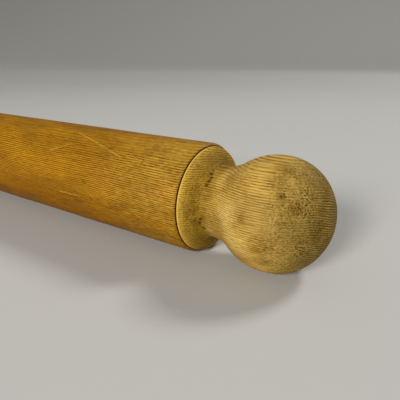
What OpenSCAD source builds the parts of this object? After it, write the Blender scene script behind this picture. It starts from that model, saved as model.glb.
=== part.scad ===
// Wooden rolling pin: a bored roller turns on a steel axle between two turned knob handles.
// The pin lies along X with its middle at the origin, and every piece is round about the X axis.

/* [Roller] */
// Length of the roller between its end faces
roller_length = 280; // [180:1:400]
// Diameter of the roller
roller_d = 52; // [42:0.5:80]
// Length of the eased edge at each end, along the roller
edge_length = 1.8; // [1.4:0.1:6]
// Depth of the eased edge at the end face
edge_depth = 1.4; // [0.4:0.1:1.8]
// Room round the axle inside the roller
bore_room = 1; // [0.5:0.1:3]

/* [Handles] */
// How far the handle is turned in from the collar to the neck
shoulder_depth = 7.8; // [6:0.1:14]
// Radius of the collar's rounded rim
rim_r = 3; // [1:0.1:4]
// How far the straight shoulder faces out along the pin, in degrees
shoulder_angle = 65; // [50:1:85]
// Radius of the cove where the shoulder meets the neck
cove_r = 3.1; // [1:0.1:5]
// Radius of the long flare from the neck to the knob
flare_r = 23; // [6:0.5:40]
// How much smaller than the roller the knob is, on the radius
knob_inset = 0.75; // [0.2:0.05:4]
// Length of the knob's straight belly
belly_length = 1.5; // [0.5:0.1:20]
// How much smaller than the knob's radius the arc of its corner is
corner_inset = 2.55; // [0.5:0.05:8]
// How much larger than the knob's radius the arc of its domed end is
dome_excess = 1.25; // [0.5:0.05:20]

/* [Axle] */
// Diameter of the steel axle
axle_d = 10; // [6:0.5:16]
// Step down to the threaded ends, on the radius
thread_step = 1; // [0.5:0.1:2]
// How far each threaded end stops short of its insert's bottom
thread_spare = 2; // [0.5:0.1:6]
// Chamfer on the axle's tips
tip_chamfer = 0.8; // [0.2:0.1:1.5]

/* [Bushes] */
// Wall of the bush round the axle
bush_wall = 3.95; // [2:0.05:8]
// Length of the bush behind its flange
bush_length = 16; // [8:0.5:40]
// How far the flange stands out from the bush
flange_width = 3; // [1:0.1:6]
// Thickness of the flange
flange_t = 2; // [1:0.1:5]

/* [Washers] */
// Thickness of the thrust washer
washer_t = 1; // [0.9:0.1:3]
// Width of the washer's ring
washer_width = 5.85; // [2:0.05:10]

/* [Inserts] */
// Wall of the threaded insert
insert_wall = 2.45; // [1:0.05:5]
// Length of the threaded insert
insert_length = 20; // [12:0.5:34]
// Depth of the drill's point below the insert
drill_point = 3; // [1:0.1:6]

/* [Fits] */
// Gap that shows between the roller and each collar
seam_gap = 0.5; // [0.2:0.05:0.9]
// Radial clearance of the axle in its bushes
running_gap = 0.05; // [0.02:0.01:0.1]
// Radial clearance of the washers on the axle and in their recesses
washer_gap = 0.15; // [0.1:0.01:0.5]
// End play of each washer
end_play = 0.1; // [0.05:0.01:0.3]
// Glue line round the bushes, the inserts and the threads
glue_gap = 0.05; // [0.02:0.01:0.2]

/* [Hidden] */
$fn = 96;
// How far a cut runs past the face it opens
cut = 1;

// Roller: an arc eases its edge from edge_start to the end face
roller_r = roller_d / 2;
roller_end = roller_length / 2;
edge_start = roller_end - edge_length;
edge_arc_r = (pow(edge_length, 2) + pow(edge_depth, 2)) / (2 * edge_depth);
axle_r = axle_d / 2;
bore_r = axle_r + bore_room;

// Bush: a sleeve whose flange lies flush with the roller's end face
bush_bore_r = axle_r + running_gap;
bush_r = bush_bore_r + bush_wall;
flange_r = bush_r + flange_width;
flange_back = roller_end - flange_t;
bush_back = flange_back - bush_length;

// Handle outline, measured from the collar's face outwards
collar_r = roller_r - edge_depth;
neck_r = collar_r - shoulder_depth;
knob_r = roller_r - knob_inset;

// Shoulder: an arc off the rim, a straight slope and the cove's arc into the neck
rim_x = rim_r * sin(shoulder_angle);
rim_end_r = collar_r - rim_r * (1 - cos(shoulder_angle));
cove_start_r = neck_r + cove_r * (1 - cos(shoulder_angle));
cove_x = rim_x + (rim_end_r - cove_start_r) / tan(shoulder_angle);
neck_x = cove_x + cove_r * sin(shoulder_angle);
knob_x = neck_x + sqrt(pow(knob_r + flare_r, 2) - pow(neck_r + flare_r, 2));

// Point where the flare runs into the knob
flare_share = knob_r / (knob_r + flare_r);
flare_end_x = knob_x + (neck_x - knob_x) * flare_share;
flare_end_r = (neck_r + flare_r) * flare_share;

// Knob: an arc up from the flare, the belly, an arc round the corner and a domed end
corner_r = knob_r - corner_inset;
dome_r = knob_r + dome_excess;
corner_angle = acos(corner_inset / (corner_inset + dome_excess));
corner_x = knob_x + belly_length;
corner_end_x = corner_x + corner_r * sin(corner_angle);
corner_end_r = corner_inset + corner_r * cos(corner_angle);
dome_x = corner_x - corner_inset * tan(corner_angle);
handle_length = dome_x + dome_r;

// Washer in a recess of the handle, bearing on the bush's flange
washer_bore_r = axle_r + washer_gap;
washer_r = washer_bore_r + washer_width;
recess_depth = washer_t + end_play - seam_gap;
collar_face = roller_end + seam_gap;
recess_floor = collar_face + recess_depth;

// Threaded joint of axle and handle
thread_r = axle_r - thread_step;
thread_tip = recess_floor + insert_length - thread_spare;
insert_bore_r = thread_r + glue_gap;
insert_r = insert_bore_r + insert_wall;

wood_roller = [0.66, 0.46, 0.17];
wood_handle = [0.70, 0.57, 0.31];
steel = [0.62, 0.63, 0.65];
nylon = [0.88, 0.86, 0.79];
fibre = [0.45, 0.20, 0.13];
brass = [0.78, 0.63, 0.30];

// Turns an outline, drawn as [radius, distance along the pin], round the X axis
module turned() {
    rotate([0, 90, 0]) rotate_extrude() children();
}

// Repeats the right-hand end of an outline at the left-hand end
module both_ends() {
    children();
    mirror([0, 1]) children();
}

// Makes a right-hand piece, or the left-hand one as its mirror image
module on_side(side) {
    if (side == "left") mirror([1, 0, 0]) children();
    else children();
}

// Straight ring or disc of an outline, from one distance to another
module band(inner_r, outer_r, from, to) {
    translate([inner_r, from]) square([outer_r - inner_r, to - from]);
}

// End of the roller past its straight surface
module roller_end_outline() {
    arc_centre_r = roller_r - edge_arc_r;
    band(bore_r, arc_centre_r, edge_start, roller_end);
    intersection() {
        band(arc_centre_r, roller_r, edge_start, roller_end);
        translate([arc_centre_r, edge_start]) circle(edge_arc_r);
    }
}

// Stepped seat for the bush and its flange
module bush_seat_outline() {
    band(0, bush_r + glue_gap, bush_back, roller_end + cut);
    band(0, flange_r + glue_gap, flange_back, roller_end + cut);
}

module roller() {
    color(wood_roller) turned() difference() {
        union() {
            band(bore_r, roller_r, -edge_start, edge_start);
            both_ends() roller_end_outline();
        }
        both_ends() bush_seat_outline();
    }
}

// Knob from the end of the flare to the tip of its dome
module knob_outline() {
    intersection() {
        band(0, knob_r, neck_x, corner_x);
        translate([0, knob_x]) circle(knob_r);
    }
    band(0, knob_r, knob_x, corner_x);
    intersection() {
        band(corner_inset, knob_r, knob_x, corner_end_x);
        translate([corner_inset, corner_x]) circle(corner_r);
    }
    intersection() {
        band(0, corner_end_r, knob_x, handle_length);
        translate([0, dome_x]) circle(dome_r);
    }
}

// Collar with a rounded rim, then shoulder, cove, neck, flare and knob.
// Each section reaches back under the one before it, so that they all become one solid.
module handle_outline() {
    intersection() {
        band(collar_r - rim_r, collar_r, 0, rim_x);
        translate([collar_r - rim_r, 0]) circle(rim_r);
    }
    polygon([[0, 0], [rim_end_r, 0], [rim_end_r, rim_x], [cove_start_r, cove_x], [0, cove_x]]);
    difference() {
        band(0, cove_start_r, rim_x, neck_x);
        translate([neck_r + cove_r, neck_x]) circle(cove_r);
    }
    difference() {
        polygon([
            [0, cove_x], [neck_r, cove_x], [neck_r, neck_x],
            [flare_end_r, flare_end_x], [0, flare_end_x]
        ]);
        translate([neck_r + flare_r, neck_x]) circle(flare_r);
    }
    knob_outline();
}

// Washer recess and blind hole for the insert, cut from the collar's face
module handle_bore_outline() {
    hole_r = insert_r + glue_gap;
    hole_end = recess_depth + insert_length;
    band(0, washer_r + washer_gap, -cut, recess_depth);
    band(0, hole_r, -cut, hole_end);
    polygon([[0, hole_end], [hole_r, hole_end], [0, hole_end + drill_point]]);
}

module handle(side) {
    color(wood_handle) on_side(side) translate([collar_face, 0, 0]) turned() difference() {
        handle_outline();
        handle_bore_outline();
    }
}

// Threaded end and chamfered tip, as turned off the bar; the thread itself is drawn plain
module axle_step_outline() {
    band(thread_r, axle_r + cut, recess_floor, thread_tip + cut);
    polygon([
        [thread_r + cut, thread_tip - tip_chamfer - cut],
        [thread_r + cut, thread_tip + cut],
        [thread_r - tip_chamfer - cut, thread_tip + cut]
    ]);
}

// The axle's shoulders stop at the inserts, so the handles never pinch the roller
module axle_rod() {
    color(steel) turned() difference() {
        band(0, axle_r, -thread_tip, thread_tip);
        both_ends() axle_step_outline();
    }
}

module bush(side) {
    color(nylon) on_side(side) turned() {
        band(bush_bore_r, bush_r, bush_back, roller_end);
        band(bush_bore_r, flange_r, flange_back, roller_end);
    }
}

module thrust_washer(side) {
    color(fibre) on_side(side) turned()
        band(washer_bore_r, washer_r, recess_floor - washer_t, recess_floor);
}

module threaded_insert(side) {
    color(brass) on_side(side) turned()
        band(insert_bore_r, insert_r, recess_floor, recess_floor + insert_length);
}

roller();
axle_rod();
handle("left");  // left_handle
handle("right");  // right_handle
bush("left");  // left_bush
bush("right");  // right_bush
thrust_washer("left");  // left_thrust_washer
thrust_washer("right");  // right_thrust_washer
threaded_insert("left");  // left_threaded_insert
threaded_insert("right");  // right_threaded_insert
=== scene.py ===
"""Looks of a wooden rolling pin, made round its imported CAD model."""

import math

import bpy
from bpy.props import FloatProperty, FloatVectorProperty, PointerProperty
from bpy.types import NodeSocket, Operator, Panel, PropertyGroup, Scene
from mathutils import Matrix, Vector


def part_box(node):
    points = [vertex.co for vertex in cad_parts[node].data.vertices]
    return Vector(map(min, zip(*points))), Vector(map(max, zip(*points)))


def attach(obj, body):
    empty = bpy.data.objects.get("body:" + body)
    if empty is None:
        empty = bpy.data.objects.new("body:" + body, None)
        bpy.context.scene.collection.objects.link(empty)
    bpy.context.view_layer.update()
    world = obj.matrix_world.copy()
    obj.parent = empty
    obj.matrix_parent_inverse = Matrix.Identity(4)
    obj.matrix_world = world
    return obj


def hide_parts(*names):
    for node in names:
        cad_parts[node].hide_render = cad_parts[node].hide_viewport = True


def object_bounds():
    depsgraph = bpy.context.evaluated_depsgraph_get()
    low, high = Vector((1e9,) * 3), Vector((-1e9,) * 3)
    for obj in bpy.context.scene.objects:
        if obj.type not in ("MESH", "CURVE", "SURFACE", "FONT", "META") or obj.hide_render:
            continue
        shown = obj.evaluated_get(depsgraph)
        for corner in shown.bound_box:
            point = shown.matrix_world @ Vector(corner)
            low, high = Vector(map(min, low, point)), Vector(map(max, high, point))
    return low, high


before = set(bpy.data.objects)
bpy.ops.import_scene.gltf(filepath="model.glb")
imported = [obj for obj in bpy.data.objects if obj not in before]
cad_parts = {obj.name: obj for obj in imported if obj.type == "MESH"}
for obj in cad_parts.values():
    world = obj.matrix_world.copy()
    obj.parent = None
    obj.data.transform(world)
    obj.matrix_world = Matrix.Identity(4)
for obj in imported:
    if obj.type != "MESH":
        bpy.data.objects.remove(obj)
cad_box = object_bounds()

bl_info = {
    "name": "Rolling pin",
    "version": (1, 0, 0),
    "blender": (4, 5, 0),
    "location": "View3D > Sidebar > Rolling Pin",
    "description": "Turns and finishes a wooden rolling pin round its CAD model",
    "category": "Object",
}

MM = 0.001

# A node that mixes colours: its inputs for how much, the colour under and the colour over
SHARE, UNDER, OVER = 0, 6, 7
MIX = {"take": 2, "data_type": "RGBA"}
# A node that passes smoothly from one end of its range to the other
SMOOTH = {"interpolation_type": "SMOOTHSTEP"}

# Beech: mean width of a growth ring in mm, and where the pith lies across the grain, in mm
RING_WIDTH = 0.97
PITH = (0, 15, -120)
# How far the growth rings of each piece are turned round the pin, in degrees
ROLLER_TILT = 19
HANDLE_TILTS = {"right_handle": 23, "left_handle": 70}
# Which way each handle points along X
HANDLE_SIDES = {"right_handle": 1, "left_handle": -1}
# Where the look of a handle changes, from none to full, in mm out from the collar's face
HANDLE_STRETCHES = {
    # The edge's thin pale line is rubbed wood and a painted highlight
    "edge": (1.0, 0.4),
    "rim": (4.2, 1.5),
    "cove": (3.0, 7.0),
    "knob": (10.0, 25.0),
    "tip": (43.0, 55.0),
}

# Marks of the right-hand end follow the photo, and those of the far end are free.
# Places are mm along the pin and degrees from its top towards -Y.
# Dents of the roller, each with its depth and reach in mm
ROLLER_DENTS = (
    ((132.5, 72), 0.30, 2.5),
    ((82.9, 81), 0.30, 3.0),
    ((86.5, 98), 0.35, 3.0),
    ((20.0, 130), 0.35, 5.0),
    ((-61.0, 200), 0.40, 4.0),
    ((-95.0, 305), 0.35, 3.0),
)
# Spots of dirt on the roller, each with its radius in mm
ROLLER_SPOTS = (
    ((132.5, 72), 1.0),
    ((83.3, 81), 1.6),
    ((81.6, 80), 1.1),
    ((86.5, 98), 1.9),
    ((88.2, 97), 1.2),
    ((20.0, 131), 1.5),
    ((-61.0, 200), 1.6),
    ((-94.0, 305), 1.2),
)
# Scratches that lay the dry wood bare, from one place to another, with the width in mm
PALE_SCRATCHES = (
    ((62.3, 21), (99.3, 44), 0.55),
    ((99.3, 44), (102.8, 46), 0.8),
    ((62.6, 99.3), (78.2, 99.1), 0.5),
    ((51.0, 53.3), (57.5, 47.2), 0.5),
    ((57.5, 47.2), (64.8, 39.5), 0.5),
    ((128.9, 43), (130.3, 43), 0.8),
    ((87.0, 95), (88.6, 95.5), 0.8),
    ((-30.0, 210), (-46.0, 190), 0.6),
)
# Scratches filled with dirt
DARK_SCRATCHES = (
    ((116.6, 44), (116.2, 53), 0.9),
    ((-80.0, 160), (-79.0, 172), 0.6),
)
# Pits of each handle: mm out from the collar's face, degrees, mm from the axis, and the radius
HANDLE_PITS = {
    "right_handle": (
        ((6.5, 21, 17.0), 0.8),
        ((7.1, 29, 16.9), 1.6),
        ((8.0, 36, 16.8), 1.2),
        ((8.0, 42, 16.8), 1.4),
        ((7.5, 49, 16.8), 1.6),
        ((7.1, 102, 16.9), 1.2),
        ((6.4, 109, 17.1), 0.9),
        ((7.5, 120, 16.8), 1.4),
        ((45.2, 51, 23.4), 0.9),
        ((35.0, 138, 25.2), 1.0),
    ),
    "left_handle": (
        ((6.8, 200, 17.0), 1.0),
        ((7.0, 340, 16.9), 0.8),
        ((46.0, 260, 23.0), 1.3),
    ),
}
# Smudges of each handle, placed like the pits; those on the right knob's dome are painted shade
HANDLE_SMUDGES_AND_SHADE = {
    "right_handle": (
        ((5.4, 88, 17.6), 2.5),
        ((5.6, 108, 17.4), 4.0),
        ((42.7, 24, 24.3), 6.0),
        ((41.5, 39, 24.6), 6.5),
        ((45.2, 52, 23.4), 3.0),
        ((50.9, 58, 19.9), 4.0),
        ((32.0, 80, 25.1), 2.5),
        ((41.0, 99, 24.7), 8.0),
        ((40.5, 119, 24.9), 5.0),
        # Painted shade: these four on the dome darken the band between the two windows' light
        ((56.9, 13, 12.5), 3.5),
        ((57.3, 43, 11.6), 4.0),
        ((58.2, 74, 9.7), 4.5),
        ((57.5, 97, 11.2), 5.0),
    ),
    "left_handle": (
        ((40.0, 70, 24.9), 6.0),
        ((43.0, 210, 24.3), 7.0),
        ((30.0, 300, 24.8), 5.0),
    ),
}
# Patches of wide open pores on each knob, with their radius
OPEN_PORES = {
    "right_handle": (
        ((52.5, 38, 18.4), 4.5),
        ((53.2, 56, 17.7), 5.0),
        ((54.0, 112, 16.6), 5.0),
    ),
    "left_handle": (((52.0, 300, 18.9), 5.0),),
}
# Patches of each handle that hands have rubbed pale, with their radius
WORN_PATCHES = {
    "right_handle": (((28.5, 105, 24.5), 9.0), ((23.5, 82, 22.5), 9.0)),
    "left_handle": (((25.0, 250, 23.3), 9.0),),
}

# The pin lies along X, so the frame's boxes give the lengths and the largest radii
ROLLER_LOW, ROLLER_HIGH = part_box("roller")
HANDLE_LOW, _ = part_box("right_handle")
BUSH_LOW, BUSH_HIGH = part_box("right_bush")
_, WASHER_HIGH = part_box("right_thrust_washer")
_, INSERT_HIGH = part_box("right_threaded_insert")
_, AXLE_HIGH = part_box("axle_rod")


def linear(hex_colour):
    """sRGB hex value as linear red, green, blue and alpha."""
    channels = [int(hex_colour[i : i + 2], 16) / 255 for i in (1, 3, 5)]
    return tuple(
        c / 12.92 if c <= 0.04045 else ((c + 0.055) / 1.055) ** 2.4 for c in channels
    ) + (1.0,)


def length(name, description, default):
    """A length that a user may change."""
    return FloatProperty(
        name=name,
        description=description,
        default=default,
        min=0.0,
        precision=5,
        subtype="DISTANCE",
        unit="LENGTH",
    )


def colour(name, description, hex_colour):
    """A colour that a user may change."""
    return FloatVectorProperty(
        name=name,
        description=description,
        default=linear(hex_colour),
        min=0.0,
        max=1.0,
        size=4,
        subtype="COLOR",
    )


class RollingPinSizes(PropertyGroup):
    """Sizes of the turned wood, as in the CAD model"""

    roller_end: length("Roller end", "End face of the roller, from the pin's middle", ROLLER_HIGH.x)
    roller_radius: length("Roller radius", "Radius of the roller", -ROLLER_LOW.z)
    edge_length: length("Edge length", "Length of the roller's eased edge", 1.8 * MM)
    edge_depth: length("Edge depth", "Depth of the eased edge at the end face", 1.4 * MM)
    bore_room: length("Bore room", "Room round the axle inside the roller", 1.0 * MM)
    flange_width: length("Flange width", "How far the bush's flange stands out", 3.0 * MM)
    flange_thickness: length("Flange thickness", "Thickness of the bush's flange", 2.0 * MM)
    glue_gap: length("Glue gap", "Glue line round bushes and inserts", 0.05 * MM)
    collar_face: length("Collar face", "Face of the collar, from the pin's middle", HANDLE_LOW.x)
    shoulder_depth: length("Shoulder depth", "Step from the collar to the neck", 7.8 * MM)
    rim_radius: length("Rim radius", "Radius of the collar's rounded rim", 3.0 * MM)
    shoulder_slope: FloatProperty(
        name="Shoulder slope",
        description="How far the shoulder faces out along the pin",
        default=math.radians(65),
        subtype="ANGLE",
    )
    cove_radius: length("Cove radius", "Radius of the cove from shoulder to neck", 3.1 * MM)
    flare_radius: length("Flare radius", "Radius of the flare from neck to knob", 23.0 * MM)
    knob_inset: length("Knob inset", "How much smaller than the roller the knob is", 0.75 * MM)
    belly_length: length("Belly length", "Length of the knob's straight belly", 1.5 * MM)
    corner_inset: length("Corner inset", "How much smaller than the knob its corner is", 2.55 * MM)
    dome_excess: length("Dome excess", "How much larger than the knob its dome is", 1.25 * MM)
    washer_gap: length("Washer gap", "Clearance round the washer in its recess", 0.15 * MM)
    drill_point: length("Drill point", "Depth of the drill's point below the insert", 3.0 * MM)
    unevenness: length("Unevenness", "How far hand turning and wear leave the round", 0.25 * MM)


class RollingPinColours(PropertyGroup):
    """Colours of the woods and fittings"""

    roller_pale: colour("Roller wood", "Oiled wood of the roller", "#b07e14")
    roller_line: colour("Roller lines", "Growth lines of the roller", "#704000")
    roller_dry: colour("Roller dry wood", "Wood at the roller's drier ends", "#be932c")
    # Painted shade: this tint darkens the roller's underside
    underside_shade: colour("Shaded_underside", "Tint of the roller's darker side, nearest the heart", "#e6dc79")
    roller_end: colour("Roller end grain", "End grain of the roller", "#a87c3c")
    handle_pale: colour("Handle wood", "Worn wood of the handles", "#c9a453")
    handle_line: colour("Handle lines", "Growth lines of the handles", "#8b651a")
    shoulder: colour("Shoulder", "End grain of the shoulders", "#bc9838")
    shoulder_pore: colour("Shoulder pores", "Pores and speckles of the shoulders", "#6c4904")
    knob_corner: colour("Knob corner", "End grain round the corner of the knobs", "#bd9e50")
    handle_end: colour("Knob end grain", "End grain of the knobs", "#a18641")
    # Pores and specks, also the painted shade on the knob's dome
    pore_and_shade: colour("Pores", "Open pores and speckles of the end grain", "#573a00")
    # Dirt in the pits, also painted shade in the seams
    grime_and_shade: colour("Grime", "Flour and oil gone dark in the pits", "#3a1f00")
    # Old oil, and painted shade in the coves
    old_oil_and_shade: colour("Old oil", "Tint of old oil in the coves", "#dad7af")
    # Also paints part of the highlight on the collar's edge
    bare: colour("Bare wood", "Dry wood laid bare by wear", "#dfb04a")
    rubbed: colour("Rubbed wood", "Wood that hands have rubbed dry and pale", "#e2bb6c")
    steel: colour("Steel", "Drawn steel of the axle", "#a6a9ac")
    steel_film: colour("Oil film", "Old oil on the axle", "#7d7a72")
    nylon: colour("Nylon", "Turned nylon of the bushes", "#e2dcc8")
    nylon_dust: colour("Dust", "Wood dust on the bushes", "#c9bb96")
    fibre: colour("Fibre", "Red fibre of the washers", "#7a3324")
    fibre_dark: colour("Fibre flecks", "Dark flecks of the washers", "#51190f")
    brass: colour("Brass", "Turned brass of the inserts", "#c8a24c")
    brass_dull: colour("Tarnish", "Tarnish of the inserts", "#94743a")
    floor: colour("Floor", "Plain floor under the pin", "#c4c2bc")
    backdrop: colour("Backdrop", "Paler rim of the floor, far from the pin", "#f4f2ec")


class RollingPinSettings(PropertyGroup):
    """All settings of the rolling pin"""

    sizes: PointerProperty(type=RollingPinSizes)
    colours: PointerProperty(type=RollingPinColours)


class Outline:
    """Half outline of a turned piece, drawn in edit mode on the XZ plane from one loose vertex.

    Places are (distance out from the piece's zero, radius). The left-hand piece runs towards -X.
    """

    def __init__(self, name, zero, side, start):
        bpy.ops.object.select_all(action="DESELECT")
        self.zero, self.side, self.pen = zero, side, start
        bpy.ops.mesh.primitive_plane_add(size=MM, location=self.place(start))
        self.piece = bpy.context.object
        self.piece.name = self.piece.data.name = name
        bpy.ops.object.transform_apply(location=True, rotation=False, scale=False)
        bpy.ops.object.mode_set(mode="EDIT")
        bpy.ops.mesh.select_all(action="SELECT")
        bpy.ops.mesh.merge(type="CENTER")

    def place(self, point):
        """A point of the outline in the frame."""
        return Vector((self.side * (self.zero + point[0]), 0.0, point[1]))

    def line(self, along, radius, steps=1):
        """Draws a straight line to a point, in equal steps."""
        step = (self.place((along, radius)) - self.place(self.pen)) / steps
        for _ in range(steps):
            bpy.ops.mesh.extrude_region_move(TRANSFORM_OT_translate={"value": step})
        self.pen = (along, radius)

    def arc(self, centre, angle, steps):
        """Draws an arc round a centre. A positive angle turns from the outside to the far end."""
        bpy.ops.mesh.spin(
            steps=steps,
            angle=self.side * angle,
            center=self.place(centre),
            axis=(0.0, -1.0, 0.0),
        )
        along, out = self.pen[0] - centre[0], self.pen[1] - centre[1]
        turned_along = along * math.cos(angle) + out * math.sin(angle)
        turned_out = out * math.cos(angle) - along * math.sin(angle)
        self.pen = (centre[0] + turned_along, centre[1] + turned_out)

    def turn(self, steps):
        """Turns the outline round the pin's axis into a closed piece."""
        bpy.ops.mesh.select_all(action="SELECT")
        bpy.ops.mesh.spin(steps=steps, angle=math.tau, center=(0, 0, 0), axis=(1, 0, 0))
        bpy.ops.mesh.select_all(action="SELECT")
        bpy.ops.mesh.remove_doubles(threshold=0.001 * MM)
        bpy.ops.mesh.normals_make_consistent(inside=False)
        bpy.ops.object.mode_set(mode="OBJECT")
        bpy.ops.object.shade_smooth_by_angle(angle=math.radians(40))
        return self.piece


def wear_outside(piece, is_outside, depth, grain):
    """Leaves the turned outside slightly out of round, with the bores and seats kept true."""
    group = piece.vertex_groups.new(name="outside")
    group.add([v.index for v in piece.data.vertices if is_outside(v.co)], 1.0, "REPLACE")
    texture = bpy.data.textures.new(piece.name + "_unevenness", "CLOUDS")
    texture.noise_scale = grain
    texture.noise_depth = 1
    wear = piece.modifiers.new("Unevenness", "DISPLACE")
    wear.texture = texture
    wear.texture_coords = "LOCAL"
    wear.vertex_group = group.name
    wear.mid_level = 0.5
    wear.strength = depth
    bpy.context.view_layer.objects.active = piece
    bpy.ops.object.modifier_apply(modifier=wear.name)


def dent(piece, place, depth, reach):
    """Presses a soft dent into a piece at the vertex nearest to a place."""
    bpy.ops.object.select_all(action="DESELECT")
    bpy.context.view_layer.objects.active = piece
    bpy.ops.object.mode_set(mode="EDIT")
    bpy.ops.mesh.select_all(action="DESELECT")
    bpy.ops.object.mode_set(mode="OBJECT")
    nearest = min(piece.data.vertices, key=lambda v: (v.co - place).length)
    inwards = -nearest.normal
    nearest.select = True
    bpy.ops.object.mode_set(mode="EDIT")
    bpy.ops.transform.translate(
        value=inwards * depth,
        use_proportional_edit=True,
        use_proportional_connected=True,
        proportional_edit_falloff="SMOOTH",
        proportional_size=reach,
    )
    bpy.ops.object.mode_set(mode="OBJECT")


def around(along, angle, radius):
    """A place round the pin: along it, and degrees from its top towards -Y."""
    turn = math.radians(angle)
    return Vector((along, -radius * math.sin(turn), radius * math.cos(turn)))


def add(tree, kind, inputs=None, take=0, **settings):
    """Adds a shader node with its settings and links, and returns one of its outputs, or all.

    Inputs go by name or number. Those of a MapRange are a value, its range and the results' range.
    """
    node = tree.nodes.new("ShaderNode" + kind)
    for key, value in settings.items():
        setattr(node, key, value)
    for key, value in (inputs or {}).items():
        if isinstance(value, NodeSocket):
            tree.links.new(value, node.inputs[key])
        else:
            node.inputs[key].default_value = value
    return node.outputs if take is None else node.outputs[take]


def streaks(tree, place, long, thick, detail=2.0):
    """Noise in cells of a length along the grain and a thickness across it, in mm."""
    cell = (1 / long, 1 / thick, 1 / thick)
    cells = add(tree, "VectorMath", {0: place, 1: cell}, operation="MULTIPLY")
    return add(tree, "TexNoise", {"Vector": cells, "Scale": 1.0, "Detail": detail})


def millimetres(tree):
    """The piece's own place in the frame, in mm."""
    place = add(tree, "TexCoord", take="Object")
    return add(tree, "VectorMath", {0: place, "Scale": 1 / MM}, operation="SCALE")


def growth_lines(tree, grain, given):
    """Late wood and early wood by turns, as lines a ring apart: above zero is dark, below is pale.

    They are crisp where the rings are cut across and faint where they are cut flat.
    The piece is sawn far from the pith, so its rings are nearly flat sheets that run along X.
    """
    # Distance from the pith, with a slow sway and a small ripple along the grain
    across = add(tree, "VectorMath", {0: grain, 1: (0, 1, 1)}, operation="MULTIPLY")
    pith = add(tree, "VectorMath", {0: across, 1: PITH}, "Value", operation="DISTANCE")
    sway = streaks(tree, grain, long=110.0, thick=25.0)
    swayed = add(tree, "Math", {0: sway, 1: 4.0, 2: pith}, operation="MULTIPLY_ADD")
    ripple = streaks(tree, grain, long=25.0, thick=3.0)
    rippled = add(tree, "Math", {0: ripple, 1: 0.7, 2: swayed}, operation="MULTIPLY_ADD")
    ring = add(tree, "Math", {0: rippled, 1: RING_WIDTH}, operation="DIVIDE")

    # A ring darkens slowly to its late wood and ends sharply
    share = add(tree, "Math", {0: ring}, operation="FRACT")
    rise = add(tree, "MapRange", {0: share, 1: 0.1, 2: 0.6}, **SMOOTH)
    fall = add(tree, "MapRange", {0: share, 1: 1.0, 2: 0.7}, **SMOOTH)
    late_wood = add(tree, "Math", {0: rise, 1: fall, 2: -0.5}, operation="MULTIPLY_ADD")

    # Some rings are stronger than others, and all are broken and worn along their length
    number = add(tree, "Math", {0: ring}, operation="FLOOR")
    chance = add(tree, "TexWhiteNoise", {"W": number}, noise_dimensions="1D")
    strength = add(tree, "Math", {0: chance, 1: 0.7, 2: 0.5}, operation="MULTIPLY_ADD")
    breaks = streaks(tree, grain, long=4.5, thick=1.0)
    broken = add(tree, "MapRange", {0: breaks, 1: 0.35, 2: 0.65, 3: 0.25, 4: 1.4})
    wear = streaks(tree, grain, long=18.0, thick=7.0)
    worn = add(tree, "MapRange", {0: wear, 1: 0.35, 2: 0.65, 3: 0.55, 4: 1.3})
    shown = add(tree, "Math", {0: strength, 1: broken}, operation="MULTIPLY")
    left = add(tree, "Math", {0: shown, 1: worn}, operation="MULTIPLY")
    lines = add(tree, "Math", {0: late_wood, 1: left}, operation="MULTIPLY")

    # How squarely the surface faces the rings
    facing = add(tree, "TexCoord", take="Normal")
    turned = {"Vector": facing, "Angle": given["Ring tilt"]}
    to_sheets = add(tree, "VectorRotate", turned, rotation_type="X_AXIS")
    square_on = add(tree, "SeparateXYZ", {0: to_sheets}, "Z")
    flatness = add(tree, "Math", {0: square_on}, operation="ABSOLUTE")
    cut_range = {0: flatness, 1: 0.8, 2: 0.35, 3: given["Flat cut"], 4: 1.0}
    crispness = add(tree, "MapRange", cut_range, **SMOOTH)
    return add(tree, "Math", {0: lines, 1: crispness}, operation="MULTIPLY")


def end_grain_share(tree, mm, given):
    """How far the surface faces out along the pin, where the vessels are cut across."""
    facing = add(tree, "TexCoord", take="Normal")
    to_right = add(tree, "SeparateXYZ", {0: facing}, "X")
    along = add(tree, "SeparateXYZ", {0: mm}, "X")
    half = add(tree, "Math", {0: along}, operation="SIGN")
    outwards = add(tree, "Math", {0: to_right, 1: half}, operation="MULTIPLY")
    end_range = {0: outwards, 1: given["End from"], 2: given["End to"]}
    return add(tree, "MapRange", end_range, **SMOOTH)


def end_pores(tree, grain, open_pores):
    """Vessels cut across: dark holes, their worn pale rims, and how open the wood is round them.

    They are drawn coarser than life so that they show.
    """
    axes = add(tree, "SeparateXYZ", {0: grain}, None)
    across = add(tree, "CombineXYZ", {0: axes["Y"], 1: axes["Z"]})
    cells = {"Vector": across, "Scale": 1 / 1.05}
    middle = add(tree, "TexVoronoi", cells, "Distance", voronoi_dimensions="2D")
    holes = add(tree, "MapRange", {0: middle, 1: 0.4, 2: 0.2}, **SMOOTH)
    rims = add(tree, "MapRange", {0: middle, 1: 0.6, 2: 0.45}, **SMOOTH)
    crowd = streaks(tree, grain, long=6.0, thick=4.0, detail=1.0)
    few = add(tree, "MapRange", {0: crowd, 1: 0.55, 2: 0.8, 4: 0.5}, **SMOOTH)
    opened = add(tree, "Math", {0: few, 1: open_pores}, operation="MAXIMUM")
    crowded = add(tree, "MapRange", {0: crowd, 1: 0.4, 2: 0.7, 3: 1.4, 4: 2.3})
    coarse = add(tree, "Math", {0: open_pores, 1: crowded}, operation="ADD")
    holes = add(tree, "Math", {0: holes, 1: opened}, operation="MULTIPLY")
    rims = add(tree, "Math", {0: rims, 1: opened}, operation="MULTIPLY")
    return holes, rims, coarse


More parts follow.
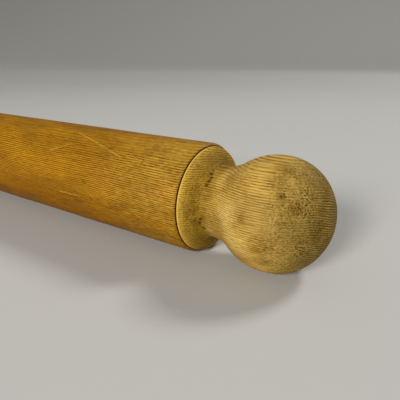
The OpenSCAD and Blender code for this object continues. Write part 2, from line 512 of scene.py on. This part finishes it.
def wood_grain():
    """Node group of solid wood in real millimetres: growth lines, fibres, vessels and pores."""
    tree = bpy.data.node_groups.new("Turned wood grain", "ShaderNodeTree")
    amounts = "Ring tilt", "Flat cut", "Patchiness", "End from", "End to", "End lines", "Open pores"
    sockets = (
        ("INPUT", "NodeSocketColor", ("Wood", "Growth line", "End grain", "Pore")),
        ("INPUT", "NodeSocketFloat", amounts),
        ("OUTPUT", "NodeSocketColor", ("Colour",)),
        ("OUTPUT", "NodeSocketFloat", ("Height", "Roughness")),
    )
    for in_out, socket_type, names in sockets:
        for name in names:
            tree.interface.new_socket(name, in_out=in_out, socket_type=socket_type)
    given = tree.nodes.new("NodeGroupInput").outputs
    result = tree.nodes.new("NodeGroupOutput").inputs
    mm = millimetres(tree)
    turned = {"Vector": mm, "Angle": given["Ring tilt"]}
    grain = add(tree, "VectorRotate", turned, rotation_type="X_AXIS")
    lines = growth_lines(tree, grain, given)
    end = end_grain_share(tree, mm, given)
    holes, rims, coarse = end_pores(tree, grain, given["Open pores"])

    # Side grain: lines, fine fibres, short dark vessels, pale rays and broad figure
    fibres = streaks(tree, grain, long=4.0, thick=0.5, detail=3.0)
    dashes = streaks(tree, grain, long=2.6, thick=0.5, detail=1.0)
    vessels = add(tree, "MapRange", {0: dashes, 1: 0.62, 2: 0.74}, **SMOOTH)
    rays = add(tree, "MapRange", {0: dashes, 1: 0.38, 2: 0.26}, **SMOOTH)
    figure = streaks(tree, grain, long=14.0, thick=1.4)
    patches = streaks(tree, grain, long=16.0, thick=6.0)
    figured = add(tree, "Math", {0: figure, 1: 0.5, 2: -0.25}, operation="MULTIPLY_ADD")
    uneven = add(tree, "Math", {0: patches, 1: -0.5}, operation="ADD")
    patchy = {0: uneven, 1: given["Patchiness"], 2: figured}
    patched = add(tree, "Math", patchy, operation="MULTIPLY_ADD")
    fibred = add(tree, "Math", {0: fibres, 1: patched}, operation="ADD")
    lined = add(tree, "Math", {0: lines, 1: 1.3, 2: fibred}, operation="MULTIPLY_ADD")
    dashed = add(tree, "Math", {0: vessels, 1: 0.2, 2: lined}, operation="MULTIPLY_ADD")
    depth = add(tree, "Math", {0: rays, 1: -0.3, 2: dashed}, operation="MULTIPLY_ADD")
    side_mix = {SHARE: depth, UNDER: given["Wood"], OVER: given["Growth line"]}
    side = add(tree, "Mix", side_mix, **MIX)

    # End grain: a duller wood, finely speckled, with faint rings, broad clouds and open pores
    speckle = streaks(tree, grain, long=0.9, thick=0.65)
    mottle = streaks(tree, grain, long=4.0, thick=3.0)
    mottled = add(tree, "Math", {0: mottle, 1: 0.6, 2: 0.2}, operation="MULTIPLY_ADD")
    specks = add(tree, "Math", {0: speckle, 1: -0.5}, operation="ADD")
    speckled = add(tree, "Math", {0: specks, 1: coarse, 2: mottled}, operation="MULTIPLY_ADD")
    ring_lines = {0: lines, 1: given["End lines"], 2: speckled}
    ringed = add(tree, "Math", ring_lines, operation="MULTIPLY_ADD")
    rimmed = add(tree, "Math", {0: rims, 1: -0.3, 2: ringed}, operation="MULTIPLY_ADD")
    end_depth = add(tree, "Math", {0: holes, 1: rimmed}, operation="ADD")
    end_mix = {SHARE: end_depth, UNDER: given["End grain"], OVER: given["Pore"]}
    cut_end = add(tree, "Mix", end_mix, **MIX)
    wood = add(tree, "Mix", {SHARE: end, UNDER: side, OVER: cut_end}, **MIX)
    clouds = streaks(tree, grain, long=28.0, thick=10.0)
    tone = add(tree, "Math", {0: clouds, 1: 0.8, 2: 0.6}, operation="MULTIPLY_ADD")
    toning = {SHARE: 1.0, UNDER: wood, OVER: tone}
    toned = add(tree, "Mix", toning, **MIX, blend_type="MULTIPLY")

    # Height: the soft early wood has worn away between the lines, and vessels and pores are open
    ridges = add(tree, "Math", {0: lines, 1: 0.6, 2: fibres}, operation="MULTIPLY_ADD")
    grooves = add(tree, "Math", {0: vessels, 1: -0.5, 2: ridges}, operation="MULTIPLY_ADD")
    open_ends = add(tree, "Math", {0: holes, 1: end}, operation="MULTIPLY")
    height = add(tree, "Math", {0: open_ends, 1: -1.2, 2: grooves}, operation="MULTIPLY_ADD")
    polish = add(tree, "MapRange", {0: clouds, 1: 0.3, 2: 0.7, 3: 0.48, 4: 0.68})
    roughness = add(tree, "Math", {0: end, 1: 0.15, 2: polish}, operation="MULTIPLY_ADD")
    for name, value in (("Colour", toned), ("Height", height), ("Roughness", roughness)):
        tree.links.new(value, result[name])
    return tree


def placed(marks, side, face):
    """Marks of a handle at their places in the frame, in mm."""
    return [(around(side * (face + out), turn, axis), reach) for (out, turn, axis), reach in marks]


def spots(tree, place, marks):
    """Mask of soft spots, each a centre and a radius in mm."""
    mask = 0.0
    for centre, radius in marks:
        distance = add(tree, "VectorMath", {0: place, 1: centre}, "Value", operation="DISTANCE")
        reach = {0: distance, 1: radius, 2: 0.25 * radius}
        spot = add(tree, "MapRange", reach, **SMOOTH)
        mask = add(tree, "Math", {0: spot, 1: mask}, operation="MAXIMUM")
    return mask


def scratches(tree, unrolled, radius, marks):
    """Mask of scratches on the unrolled roller: mm along it and mm round it."""
    mask = 0.0
    for start, finish, width in marks:
        start, finish = (Vector((x, math.radians(turn) * radius, 0)) for x, turn in (start, finish))
        run = finish - start
        past = add(tree, "VectorMath", {0: unrolled, 1: start}, operation="SUBTRACT")
        unit_run = run / run.length_squared
        share = add(tree, "VectorMath", {0: past, 1: unit_run}, "Value", operation="DOT_PRODUCT")
        held = add(tree, "Math", {0: share, 1: 0.0}, operation="ADD", use_clamp=True)
        nearest = add(tree, "VectorMath", {0: run, "Scale": held}, operation="SCALE")
        away = add(tree, "VectorMath", {0: past, 1: nearest}, "Value", operation="DISTANCE")
        reach = {0: away, 1: width, 2: 0.3 * width}
        scratch = add(tree, "MapRange", reach, **SMOOTH)
        mask = add(tree, "Math", {0: scratch, 1: mask}, operation="MAXIMUM")
    return mask


def roughened(tree, mm, amount):
    """Places shifted by up to half an amount of mm, so that marks get ragged edges."""
    noise = add(tree, "TexNoise", {"Vector": mm, "Scale": 0.9, "Detail": 2.0}, "Color")
    shift = add(tree, "VectorMath", {0: noise, 1: (0.5, 0.5, 0.5)}, operation="SUBTRACT")
    far = add(tree, "VectorMath", {0: shift, "Scale": amount}, operation="SCALE")
    return add(tree, "VectorMath", {0: mm, 1: far}, operation="ADD")


def frayed(tree, mm, mask):
    """A mask broken up along the grain, because wear and dirt keep to the fibres."""
    fray = streaks(tree, mm, long=2.2, thick=0.6)
    kept = add(tree, "MapRange", {0: fray, 1: 0.42, 2: 0.6, 3: 0.35, 4: 1.0})
    return add(tree, "Math", {0: mask, 1: kept}, operation="MULTIPLY")


def stain(tree, base, mask, tint, amount=1.0, blend="MIX"):
    """Lays a tint over a colour where a mask is."""
    part = add(tree, "Math", {0: mask, 1: amount}, operation="MULTIPLY")
    layers = {SHARE: part, UNDER: base, OVER: tint}
    return add(tree, "Mix", layers, **MIX, blend_type=blend)


def new_material(name):
    """A material with its shader, its node tree and places in mm."""
    material = bpy.data.materials.new(name)
    material.use_nodes = True
    tree = material.node_tree
    return material, tree, tree.nodes["Principled BSDF"], millimetres(tree)


def surface(tree, shader, base, roughness, height, depth):
    """Links a surface's colour, roughness and relief, with the relief's depth in mm."""
    bump = add(tree, "Bump", {"Height": height, "Strength": 0.7, "Distance": depth * MM})
    for socket, value in (("Base Color", base), ("Roughness", roughness), ("Normal", bump)):
        tree.links.new(value, shader.inputs[socket])


def wood_surface(tree, shader, base, grain):
    """Finishes a wood with its grain's relief and the low gloss of oil that has soaked in."""
    surface(tree, shader, base, grain["Roughness"], grain["Height"], depth=0.15)
    shader.inputs["IOR"].default_value = 1.45
    shader.inputs["Specular IOR Level"].default_value = 0.1


def roller_wood(group, colours, sizes):
    """Beech, turned and oiled: warm brown with fine lines along it, paler and drier at the ends."""
    material, tree, shader, mm = new_material("Beech, turned and oiled")
    radius, end = sizes.roller_radius / MM, sizes.roller_end / MM
    axes = add(tree, "SeparateXYZ", {0: mm}, None)
    along = add(tree, "Math", {0: axes["X"]}, operation="ABSOLUTE")
    dry = add(tree, "MapRange", {0: along, 1: 70.0, 2: 140.0}, **SMOOTH)
    dry_mix = {SHARE: dry, UNDER: colours.roller_pale, OVER: colours.roller_dry}
    wood = {
        "Wood": add(tree, "Mix", dry_mix, **MIX),
        "Growth line": colours.roller_line,
        "End grain": colours.roller_end,
        "Pore": colours.pore_and_shade,
        "Ring tilt": math.radians(ROLLER_TILT),
        "Flat cut": 0.15,
        "Patchiness": 0.4,
        "End from": 0.85,
        "End to": 0.98,
        "End lines": 0.5,
    }
    grain = add(tree, "Group", wood, None, node_tree=group)

    # Places of the marks, on the round surface and on it unrolled
    ragged = roughened(tree, mm, amount=1.2)
    grimy = spots(tree, ragged, [(around(x, turn, radius), r) for (x, turn), r in ROLLER_SPOTS])
    front = add(tree, "Math", {0: axes["Y"], 1: -1.0}, operation="MULTIPLY")
    turn = add(tree, "Math", {0: front, 1: axes["Z"]}, operation="ARCTAN2")
    whole_turn = add(tree, "Math", {0: turn, 1: math.tau, 2: 0.0}, operation="WRAP")
    round_it = add(tree, "Math", {0: whole_turn, 1: radius}, operation="MULTIPLY")
    unrolled = add(tree, "CombineXYZ", {0: axes["X"], 1: round_it})
    wavering = roughened(tree, unrolled, amount=0.8)
    bare = scratches(tree, wavering, radius, PALE_SCRATCHES)
    scored = scratches(tree, wavering, radius, DARK_SCRATCHES)

    # The underside is darker: painted shade
    towards_underside = add(tree, "MapRange", {0: whole_turn, 1: 1.2, 2: 2.0}, **SMOOTH)
    past_underside = add(tree, "MapRange", {0: whole_turn, 1: 4.4, 2: 3.4}, **SMOOTH)
    underside_shade = add(tree, "Math", {0: towards_underside, 1: past_underside}, operation="MULTIPLY")
    underside_shaded = stain(tree, grain["Colour"], underside_shade, colours.underside_shade, blend="MULTIPLY")

    # Pale flecks where the wood is dry, then scratches, spots, and dirt and painted shade in the
    # seams
    flecks = streaks(tree, mm, long=3.0, thick=0.7)
    pale_flecks = add(tree, "MapRange", {0: flecks, 1: 0.5, 2: 0.7}, **SMOOTH)
    dry_flecks = add(tree, "Math", {0: pale_flecks, 1: dry}, operation="MULTIPLY")
    flecked = stain(tree, underside_shaded, dry_flecks, colours.rubbed, amount=0.22)
    scratched = stain(tree, flecked, frayed(tree, mm, bare), colours.bare, amount=0.42)
    marked = stain(tree, scratched, frayed(tree, mm, scored), colours.roller_line, amount=0.6)
    spotted = stain(tree, marked, frayed(tree, mm, grimy), colours.pore_and_shade, amount=0.7)
    seam_grime_and_shade = add(tree, "MapRange", {0: along, 1: end - 0.15, 2: end - 0.02})
    base = stain(tree, spotted, seam_grime_and_shade, colours.grime_and_shade, amount=0.85)
    wood_surface(tree, shader, base, grain)
    return material


def handle_wood(name, group, colours, sizes, side):
    """Beech, turned and worn dry: pale lined side grain, dull speckled end grain, cove tinted by
    old oil and painted shade.
    """
    material, tree, shader, mm = new_material(f"Beech, turned and worn dry, {name}")
    face = sizes.collar_face / MM
    ragged = roughened(tree, mm, amount=1.6)
    pits, smudges_and_shade, open_pores, worn = (
        spots(tree, ragged, placed(marks[name], side, face))
        for marks in (HANDLE_PITS, HANDLE_SMUDGES_AND_SHADE, OPEN_PORES, WORN_PATCHES)
    )
    places = add(tree, "SeparateXYZ", {0: ragged}, None)
    out = add(tree, "Math", {0: places["X"], 1: side, 2: -face}, operation="MULTIPLY_ADD")
    at = {
        stretch: add(tree, "MapRange", {0: out, 1: none, 2: full}, **SMOOTH)
        for stretch, (none, full) in HANDLE_STRETCHES.items()
    }
    knob_mix = {SHARE: at["knob"], UNDER: colours.shoulder, OVER: colours.knob_corner}
    knob_end = add(tree, "Mix", knob_mix, **MIX)
    end_mix = {SHARE: at["tip"], UNDER: knob_end, OVER: colours.handle_end}
    pore_mix = {SHARE: at["tip"], UNDER: colours.shoulder_pore, OVER: colours.pore_and_shade}
    # Rings show through the end grain at the rim and at the tip
    tip_lines = add(tree, "MapRange", {0: out, 1: 54.5, 2: 57.5, 3: 0.4, 4: 1.5})
    end_lines = {0: at["rim"], 1: 0.9, 2: tip_lines}
    wood = {
        "Wood": colours.handle_pale,
        "Growth line": colours.handle_line,
        "End grain": add(tree, "Mix", end_mix, **MIX),
        "Pore": add(tree, "Mix", pore_mix, **MIX),
        "Ring tilt": math.radians(HANDLE_TILTS[name]),
        "Flat cut": 0.7,
        "Patchiness": 1.3,
        "End from": 0.08,
        "End to": 0.42,
        "End lines": add(tree, "Math", end_lines, operation="MULTIPLY_ADD"),
        "Open pores": open_pores,
    }
    grain = add(tree, "Group", wood, None, node_tree=group)

    # Old oil in the cove runs on to the neck, further on its upper side; the same tint also paints
    # shade in the cove and on the neck
    leaning = add(tree, "Math", {0: places["Z"], 1: -0.12, 2: out}, operation="MULTIPLY_ADD")
    to_neck = add(tree, "MapRange", {0: leaning, 1: 12.0, 2: 8.5}, **SMOOTH)
    cove_oil_and_shade = add(tree, "Math", {0: at["cove"], 1: to_neck}, operation="MULTIPLY")
    cove_tinted_and_shaded = stain(tree, grain["Colour"], cove_oil_and_shade, colours.old_oil_and_shade, blend="MULTIPLY")

    # Hands have rubbed the collar's edge and parts of the flare pale, and left smudge marks. The
    # thin pale line at the collar's edge is partly rubbed wood and partly a painted highlight.
    rubbed_rim = stain(tree, cove_tinted_and_shaded, frayed(tree, mm, at["rim"]), colours.bare, amount=0.28)
    rubbed_edge_and_highlight = stain(tree, rubbed_rim, at["edge"], colours.bare, amount=0.7)
    worn_off = frayed(tree, mm, worn)
    rubbed = stain(tree, rubbed_edge_and_highlight, worn_off, colours.rubbed, amount=0.42, blend="SCREEN")
    # Smudge marks, and painted shade on the right knob's dome
    smudged_and_shaded = stain(tree, rubbed, frayed(tree, mm, smudges_and_shade), colours.pore_and_shade, amount=0.65)

    # Dirt fills the pits; dirt and painted shade darken the gap at the collar's face
    pitted = stain(tree, smudged_and_shaded, pits, colours.grime_and_shade, amount=0.85)
    exact = add(tree, "SeparateXYZ", {0: mm}, "X")
    from_face = add(tree, "Math", {0: exact, 1: side, 2: -face}, operation="MULTIPLY_ADD")
    seam_grime_and_shade = add(tree, "MapRange", {0: from_face, 1: 0.12, 2: 0.02})
    base = stain(tree, pitted, seam_grime_and_shade, colours.grime_and_shade, amount=0.85)
    wood_surface(tree, shader, base, grain)
    return material


def axle_steel(colours):
    """Mild steel, drawn: bright, with fine lines along the bar and a patchy film of old oil."""
    material, tree, shader, mm = new_material("Mild steel, drawn")
    # Die lines of 0.02 mm are drawn 0.3 mm wide so that they show
    drawn = streaks(tree, mm, long=30.0, thick=0.3)
    film = streaks(tree, mm, long=25.0, thick=5.0)
    oiled = add(tree, "MapRange", {0: film, 1: 0.45, 2: 0.65})
    film_mix = {SHARE: oiled, UNDER: colours.steel, OVER: colours.steel_film}
    tint = add(tree, "Mix", film_mix, **MIX)
    roughness = add(tree, "MapRange", {0: drawn, 1: 0.3, 2: 0.7, 3: 0.25, 4: 0.42})
    surface(tree, shader, tint, roughness, drawn, depth=0.02)
    shader.inputs["Metallic"].default_value = 1.0
    return material


def turned_rings(tree, mm, feed):
    """Ridges left by a lathe tool that moves a feed, in mm, along the pin at each turn."""
    along = add(tree, "SeparateXYZ", {0: mm}, "X")
    turns = add(tree, "Math", {0: along, 1: feed}, operation="DIVIDE")
    share = add(tree, "Math", {0: turns, 1: 1.0}, operation="PINGPONG")
    return add(tree, "MapRange", {0: share}, **SMOOTH)


def bush_nylon(colours):
    """Cast nylon, turned: milky and matte, with fine feed rings and wood dust in their valleys."""
    material, tree, shader, mm = new_material("Cast nylon, turned")
    # A feed of 0.1 mm is drawn as 0.4 mm so that it shows
    rings = turned_rings(tree, mm, feed=0.4)
    specks = streaks(tree, mm, long=1.5, thick=1.5, detail=4.0)
    dusty = add(tree, "MapRange", {0: specks, 1: 0.45, 2: 0.7})
    valleys = add(tree, "Math", {0: rings, 1: -0.5, 2: 1.0}, operation="MULTIPLY_ADD")
    dust = add(tree, "Math", {0: dusty, 1: valleys}, operation="MULTIPLY")
    dust_mix = {SHARE: dust, UNDER: colours.nylon, OVER: colours.nylon_dust}
    tint = add(tree, "Mix", dust_mix, **MIX)
    roughness = add(tree, "MapRange", {0: dust, 3: 0.42, 4: 0.7})
    surface(tree, shader, tint, roughness, rings, depth=0.03)
    shader.inputs["IOR"].default_value = 1.53
    return material


def washer_fibre(colours):
    """Vulcanised fibre, punched: dull red, with dark flecks of cotton and a faintly furry face."""
    material, tree, shader, mm = new_material("Vulcanised fibre, punched")
    flecks = streaks(tree, mm, long=0.9, thick=0.9, detail=4.0)
    fur = streaks(tree, mm, long=0.3, thick=0.3)
    dark = add(tree, "MapRange", {0: flecks, 1: 0.48, 2: 0.66})
    fleck_mix = {SHARE: dark, UNDER: colours.fibre, OVER: colours.fibre_dark}
    tint = add(tree, "Mix", fleck_mix, **MIX)
    roughness = add(tree, "MapRange", {0: flecks, 1: 0.3, 2: 0.7, 3: 0.6, 4: 0.85})
    surface(tree, shader, tint, roughness, fur, depth=0.04)
    shader.inputs["IOR"].default_value = 1.5
    return material


def insert_brass(colours):
    """Free-cutting brass, turned: yellow, with feed rings and a brown bloom of tarnish."""
    material, tree, shader, mm = new_material("Free-cutting brass, turned")
    # A feed of 0.1 mm is drawn as 0.3 mm so that it shows
    rings = turned_rings(tree, mm, feed=0.3)
    bloom = streaks(tree, mm, long=4.0, thick=4.0, detail=4.0)
    dull = add(tree, "MapRange", {0: bloom, 1: 0.42, 2: 0.66})
    tarnish_mix = {SHARE: dull, UNDER: colours.brass, OVER: colours.brass_dull}
    tint = add(tree, "Mix", tarnish_mix, **MIX)
    roughness = add(tree, "MapRange", {0: dull, 3: 0.28, 4: 0.5})
    surface(tree, shader, tint, roughness, rings, depth=0.03)
    shader.inputs["Metallic"].default_value = 1.0
    return material


def dress(piece, material, slot, body, *nodes):
    """Gives a piece its material and its body, and hides the CAD nodes it stands for. The slot is
    not used.
    """
    piece.data.materials.clear()
    piece.data.materials.append(material)
    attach(piece, body)
    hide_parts(*nodes)


class ROLLINGPIN_OT_roller(Operator):
    """Turns the roller, bores it for its bushes and wears it"""

    bl_idname = "rolling_pin.roller"
    bl_label = "Turn Roller"

    def execute(self, context):
        sizes = context.scene.rolling_pin.sizes
        colours = context.scene.rolling_pin.colours
        radius, end = sizes.roller_radius, sizes.roller_end
        edge_arc = (sizes.edge_length**2 + sizes.edge_depth**2) / (2 * sizes.edge_depth)
        edge_angle = math.asin(sizes.edge_length / edge_arc)
        edge_start = end - sizes.edge_length
        bore = AXLE_HIGH.z + sizes.bore_room
        flange_seat = BUSH_HIGH.z + sizes.glue_gap
        flange_back = end - sizes.flange_thickness
        bush_seat = flange_seat - sizes.flange_width
        bush_back = BUSH_LOW.x
        outline = Outline("turned_roller", 0.0, 1, (-end, radius - sizes.edge_depth))
        outline.arc((-edge_start, radius - edge_arc), edge_angle, steps=6)
        outline.line(edge_start, radius, steps=110)
        outline.arc((edge_start, radius - edge_arc), edge_angle, steps=6)
        outline.line(end, flange_seat, steps=3)
        outline.line(flange_back, flange_seat)
        outline.line(flange_back, bush_seat)
        outline.line(bush_back, bush_seat)
        outline.line(bush_back, bore)
        outline.line(-bush_back, bore)
        outline.line(-bush_back, bush_seat)
        outline.line(-flange_back, bush_seat)
        outline.line(-flange_back, flange_seat)
        outline.line(-end, flange_seat)
        outline.line(-end, radius - sizes.edge_depth, steps=3)
        roller = outline.turn(steps=240)
        wear_outside(
            roller,
            lambda p: math.hypot(p.y, p.z) > radius - 0.5 * sizes.edge_depth,
            depth=sizes.unevenness,
            grain=40 * MM,
        )
        for (along, angle), depth, reach in ROLLER_DENTS:
            dent(roller, around(along * MM, angle, radius), depth * MM, reach * MM)
        material = roller_wood(wood_grain(), colours, sizes)
        dress(roller, material, "roller_wood", "roller", "roller")
        return {"FINISHED"}


class ROLLINGPIN_OT_handles(Operator):
    """Turns both handles, drills them for their inserts and wears them"""

    bl_idname = "rolling_pin.handles"
    bl_label = "Turn Handles"

    def execute(self, context):
        sizes = context.scene.rolling_pin.sizes
        colours = context.scene.rolling_pin.colours
        group = bpy.data.node_groups["Turned wood grain"]
        for name, side in HANDLE_SIDES.items():
            handle = self.turn_handle(sizes, name, side)
            material = handle_wood(name, group, colours, sizes, side)
            dress(handle, material, "handle_wood", "axle_and_handles", name)
        return {"FINISHED"}

    def turn_handle(self, sizes, name, side):
        """One handle: blind hole, recess, collar, cove, neck, flare and knob."""
        collar = sizes.roller_radius - sizes.edge_depth
        neck = collar - sizes.shoulder_depth
        slope, rim, cove = sizes.shoulder_slope, sizes.rim_radius, sizes.cove_radius
        knob = sizes.roller_radius - sizes.knob_inset
        rounded = (rim + cove) * (1 - math.cos(slope))
        straight = (sizes.shoulder_depth - rounded) / math.sin(slope)
        neck_at = (rim + cove) * math.sin(slope) + straight * math.cos(slope)
        cove_at = neck_at - cove * math.sin(slope)
        reach = math.sqrt((knob + sizes.flare_radius) ** 2 - (neck + sizes.flare_radius) ** 2)
        knob_at = neck_at + reach
        flare_angle = math.atan2(reach, neck + sizes.flare_radius)
        corner_at = knob_at + sizes.belly_length
        corner_angle = math.acos(sizes.corner_inset / (sizes.corner_inset + sizes.dome_excess))
        dome_at = corner_at - sizes.corner_inset * math.tan(corner_angle)
        recess = WASHER_HIGH.z + sizes.washer_gap
        recess_floor = WASHER_HIGH.x - sizes.collar_face
        hole = INSERT_HIGH.z + sizes.glue_gap
        hole_end = INSERT_HIGH.x - sizes.collar_face
        outline = Outline(
            f"turned_{name}", sizes.collar_face, side, (hole_end + sizes.drill_point, 0.0)
        )
        outline.line(hole_end, hole)
        outline.line(recess_floor, hole)
        outline.line(recess_floor, recess)
        outline.line(0.0, recess)
        outline.line(0.0, collar, steps=4)
        outline.arc((0.0, collar - rim), slope, steps=10)
        outline.line(cove_at, neck + cove * (1 - math.cos(slope)), steps=6)
        outline.arc((neck_at, neck + cove), -slope, steps=10)
        outline.arc((neck_at, neck + sizes.flare_radius), -flare_angle, steps=26)
        outline.arc((knob_at, 0.0), flare_angle, steps=18)
        outline.line(corner_at, knob, steps=2)
        outline.arc((corner_at, sizes.corner_inset), corner_angle, steps=26)
        outline.arc((dome_at, 0.0), math.pi / 2 - corner_angle, steps=22)
        handle = outline.turn(steps=224)
        wear_outside(
            handle,
            lambda p: abs(p.x) > sizes.collar_face + sizes.rim_radius
            and (math.hypot(p.y, p.z) > neck - MM or abs(p.x) > sizes.collar_face + knob_at),
            depth=sizes.unevenness,
            grain=18 * MM,
        )
        return handle


class ROLLINGPIN_OT_fittings(Operator):
    """Gives the axle, bushes, washers and inserts their finishes"""

    bl_idname = "rolling_pin.fittings"
    bl_label = "Finish Fittings"

    def execute(self, context):
        colours = context.scene.rolling_pin.colours
        finishes = (
            (axle_steel(colours), ("axle_rod",)),
            (bush_nylon(colours), ("left_bush", "right_bush")),
            (washer_fibre(colours), ("left_thrust_washer", "right_thrust_washer")),
            (insert_brass(colours), ("left_threaded_insert", "right_threaded_insert")),
        )
        for material, names in finishes:
            for name in names:
                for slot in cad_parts[name].material_slots:
                    slot.material = material
        return {"FINISHED"}


class ROLLINGPIN_OT_stage(Operator):
    """Lays the floor, sets the lamps and stands the camera"""

    bl_idname = "rolling_pin.stage"
    bl_label = "Set Stage"

    def execute(self, context):
        self.lay_floor(context)
        self.set_lamps(context)
        self.stand_camera(context)
        context.scene.view_settings.view_transform = "Standard"
        return {"FINISHED"}

    def lay_floor(self, context):
        """Round matte floor that sweeps up to a wall in one wide arc, far outside the pin."""
        flat, sweep, steps = 2.2, 4.0, 24
        bpy.ops.object.select_all(action="DESELECT")
        bpy.ops.mesh.primitive_circle_add(
            vertices=128, radius=flat, fill_type="NGON", location=(0, 0, cad_box[0].z)
        )
        floor = context.object
        floor.name = floor.data.name = "floor"
        bpy.ops.object.transform_apply(location=True, rotation=False, scale=False)
        bpy.ops.object.mode_set(mode="EDIT")
        bpy.ops.mesh.select_all(action="SELECT")
        bpy.ops.mesh.region_to_loop()
        for step in range(steps):
            turn = step * math.pi / 2 / steps
            turned = (step + 1) * math.pi / 2 / steps
            rise = sweep * (math.cos(turn) - math.cos(turned))
            growth = (flat + sweep * math.sin(turned)) / (flat + sweep * math.sin(turn))
            bpy.ops.mesh.extrude_region_move(TRANSFORM_OT_translate={"value": (0, 0, rise)})
            bpy.ops.transform.resize(value=(growth, growth, 1.0), center_override=(0, 0, 0))
        bpy.ops.object.mode_set(mode="OBJECT")
        bpy.ops.object.shade_smooth()
        colours = context.scene.rolling_pin.colours
        material, tree, shader, mm = new_material("Plain matte floor")
        away = add(tree, "VectorMath", {0: mm}, "Value", operation="LENGTH")
        far = add(tree, "MapRange", {0: away, 1: 900.0, 2: 2500.0}, **SMOOTH)
        floor_mix = {SHARE: far, UNDER: colours.floor, OVER: colours.backdrop}
        tint = add(tree, "Mix", floor_mix, **MIX)
        tree.links.new(tint, shader.inputs["Base Color"])
        shader.inputs["Roughness"].default_value = 0.9
        shader.inputs["Specular IOR Level"].default_value = 0.1
        floor.data.materials.append(material)

    def set_lamps(self, context):
        """Two soft windows on opposite sides of the pin, and a faint even room."""
        aim = Vector((120 * MM, 0.0, 0.0))
        # Beams this wide keep off the floor just under the windows
        beam = math.radians(70)
        narrowing = 1 - beam / 2 / math.tan(beam / 2)
        # Direction from the pin, distance and size in metres, and share of the light
        windows = (
            ("front_window", (0.1, -1.0, 0.42), 4.0, 1.0, 1.11),
            ("back_window", (0.41, 0.94, 1.0), 4.0, 0.9, 0.58),
        )
        for name, towards, distance, size, light in windows:
            direction = Vector(towards).normalized()
            data = bpy.data.lights.new(name, "AREA")
            data.shape = "SQUARE"
            data.size = size
            data.spread = beam
            # At this power a white sheet that faces the window is as bright as its share of light
            data.energy = light * math.pi**2 * distance**2 * narrowing
            window = bpy.data.objects.new(name, data)
            window.location = aim + direction * distance
            window.rotation_euler = direction.to_track_quat("Z", "Y").to_euler()
            window.visible_camera = False
            context.scene.collection.objects.link(window)
        world = bpy.data.worlds.new("Even room light")
        world.use_nodes = True
        background = world.node_tree.nodes["Background"].inputs
        background["Color"].default_value = linear("#ffffff")
        background["Strength"].default_value = 0.2
        context.scene.world = world

    def stand_camera(self, context):
        """Camera just past the right-hand knob, looking down at the collar."""
        data = bpy.data.cameras.new("camera")
        data.sensor_width = 36.0
        data.lens = 39.6
        data.clip_start = 10 * MM
        camera = bpy.data.objects.new("camera", data)
        camera.location = Vector((252.4, -162.2, 66.1)) * MM
        look = Vector((-0.5541, 0.7678, -0.3215))
        camera.rotation_euler = look.to_track_quat("-Z", "Y").to_euler()
        context.scene.collection.objects.link(camera)
        context.scene.camera = camera


class ROLLINGPIN_PT_panel(Panel):
    """Steps and settings of the rolling pin"""

    bl_idname = "ROLLINGPIN_PT_panel"
    bl_label = "Rolling Pin"
    bl_space_type = "VIEW_3D"
    bl_region_type = "UI"
    bl_category = "Rolling Pin"

    def draw(self, context):
        for operator in OPERATORS:
            self.layout.operator(operator.bl_idname)
        for settings in (context.scene.rolling_pin.sizes, context.scene.rolling_pin.colours):
            for name in settings.__annotations__:
                self.layout.prop(settings, name)


OPERATORS = (
    ROLLINGPIN_OT_roller,
    ROLLINGPIN_OT_handles,
    ROLLINGPIN_OT_fittings,
    ROLLINGPIN_OT_stage,
)
CLASSES = (
    RollingPinSizes,
    RollingPinColours,
    RollingPinSettings,
    *OPERATORS,
    ROLLINGPIN_PT_panel,
)


def register():
    for cls in CLASSES:
        bpy.utils.register_class(cls)
    Scene.rolling_pin = PointerProperty(type=RollingPinSettings)


def unregister():
    del Scene.rolling_pin
    for cls in reversed(CLASSES):
        bpy.utils.unregister_class(cls)


def main():
    register()
    bpy.ops.rolling_pin.roller()
    bpy.ops.rolling_pin.handles()
    bpy.ops.rolling_pin.fittings()
    bpy.ops.rolling_pin.stage()


if __name__ == "__main__":
    main()
